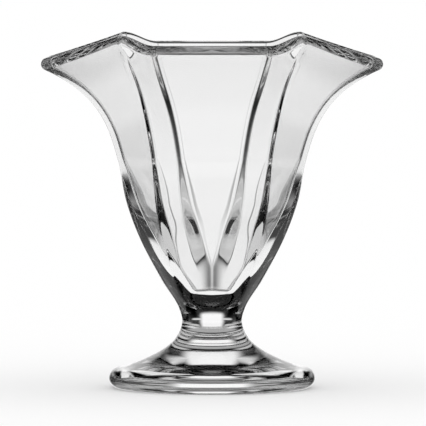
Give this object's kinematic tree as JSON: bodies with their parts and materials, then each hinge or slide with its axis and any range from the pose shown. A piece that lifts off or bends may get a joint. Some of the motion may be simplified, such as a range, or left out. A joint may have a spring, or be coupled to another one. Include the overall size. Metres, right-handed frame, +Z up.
{
  "type": "parfait glass",
  "caption": "Clear pressed-glass parfait glass with a flared panelled bowl, bevelled corners, a wavy rounded rim, a short waisted stem and a domed foot.",
  "frame": {"origin": "middle of the ring that the foot stands on, at table height", "axes": "+Z up the axis of the stem, +X towards one of the two low tips of the rim, -Y out of the front panel"},
  "size_m": [0.1208, 0.1036, 0.1258],
  "materials": {
    "clear_glass": "fire-polished clear soda-lime glass"
  },
  "bodies": {
    "root": {"bowl": "clear_glass", "stem": "clear_glass", "foot": "clear_glass"}
  },
  "joints": []
}
